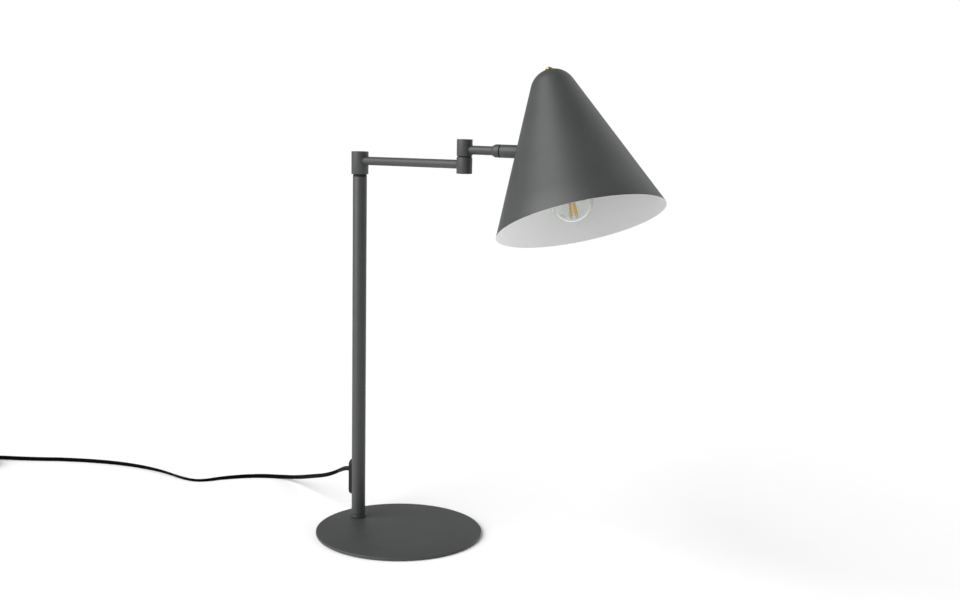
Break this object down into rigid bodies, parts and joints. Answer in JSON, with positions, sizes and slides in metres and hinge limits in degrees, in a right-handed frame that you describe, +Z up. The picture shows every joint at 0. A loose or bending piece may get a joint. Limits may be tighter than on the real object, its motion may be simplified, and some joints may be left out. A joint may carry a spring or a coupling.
{
  "type": "desk lamp",
  "caption": "Anthracite metal architect desk lamp: round base, upright pole, jointed horizontal arm and a tilting cone shade over a clear bulb, with cord and plug.",
  "frame": {"origin": "centre of the round base's underside, at desk level", "axes": "+Z straight up along the pole; +X from the pole over the middle of the base, the way the arms reach at rest"},
  "size_m": [0.9498, 0.4221, 0.5301],
  "materials": {
    "coat": "satin fine-grained anthracite powder coat",
    "shade_coat": "satin anthracite outside, white inside",
    "steel": "zinc-plated",
    "brass": "plain, slightly dulled",
    "black_plastic": "satin moulded black",
    "cord_pvc": "smooth soft PVC sheath",
    "nylon": "natural moulded",
    "pad": "matt foam sheet",
    "nickel": "nickel-plated",
    "clear_glass": "clear, smooth",
    "filament": "phosphor-coated, yellow"
  },
  "bodies": {
    "stand": {"base_pad": "pad", "base_plate": "coat", "foot_screw": "steel", "pole_foot": "coat", "pole_tube": "coat", "pole_stud": "steel", "pole_thrust_washer": "nylon", "pole_spring_washer": "steel", "pole_nut": "steel", "switch_housing": "black_plastic", "cord_grip": "black_plastic", "pole_lead": "cord_pvc", "cord_run": "cord_pvc", "cord_coil": "cord_pvc", "coil_tie": "black_plastic", "cord_tail": "cord_pvc", "plug_body": "black_plastic", "plug_pin_1": "nickel", "plug_pin_2": "nickel"},
    "rocker": {"switch_rocker": "black_plastic"},
    "arm_1": {"arm_1_collar": "coat", "arm_1_collar_cap": "coat", "arm_1_tube": "coat", "elbow_lower_barrel": "coat", "elbow_lower_cap": "coat", "elbow_thrust_washer": "nylon", "arm_1_lead": "cord_pvc"},
    "arm_2": {"elbow_upper_barrel": "coat", "elbow_upper_cap": "coat", "elbow_stud": "steel", "elbow_spring_washer": "steel", "elbow_nut": "steel", "arm_2_tube": "coat", "swivel_adapter": "coat", "swivel_thrust_washer": "nylon", "swivel_stud": "steel", "swivel_spring_washer": "steel", "swivel_nut": "steel", "arm_2_lead": "cord_pvc"},
    "shade": {"shade_shell": "shade_coat", "shade_sleeve": "coat", "apex_nut": "brass", "apex_screw": "steel", "holder_stem": "steel", "lampholder_cap": "black_plastic", "lampholder_body": "black_plastic", "bulb_cap": "nickel", "bulb_glass": "clear_glass", "bulb_mount": "clear_glass", "bulb_filament_1": "filament", "bulb_filament_2": "filament", "bulb_filament_3": "filament", "bulb_filament_4": "filament", "shade_lead": "cord_pvc"}
  },
  "joints": [
    {"name": "rocker_tilt", "type": "hinge", "parent": "stand", "child": "rocker", "pos_m": [-0.0753, 0, 0.0445], "axis": [0, 1, 0], "range_deg": [0, 10]},
    {"name": "pole_swivel", "type": "hinge", "parent": "stand", "child": "arm_1", "pos_m": [-0.0665, 0, 0.4255], "axis": [0, 0, 1], "range_deg": [-170, 170]},
    {"name": "elbow_swivel", "type": "hinge", "parent": "arm_1", "child": "arm_2", "pos_m": [0.08798, 0.0027, 0.4351], "axis": [0, 0, 1], "range_deg": [-116, 94]},
    {"name": "shade_tilt", "type": "hinge", "parent": "arm_2", "child": "shade", "pos_m": [0.20322, 0.02804, 0.4422], "axis": [0.9767, 0.2147, 0], "range_deg": [-78, 102]}
  ]
}
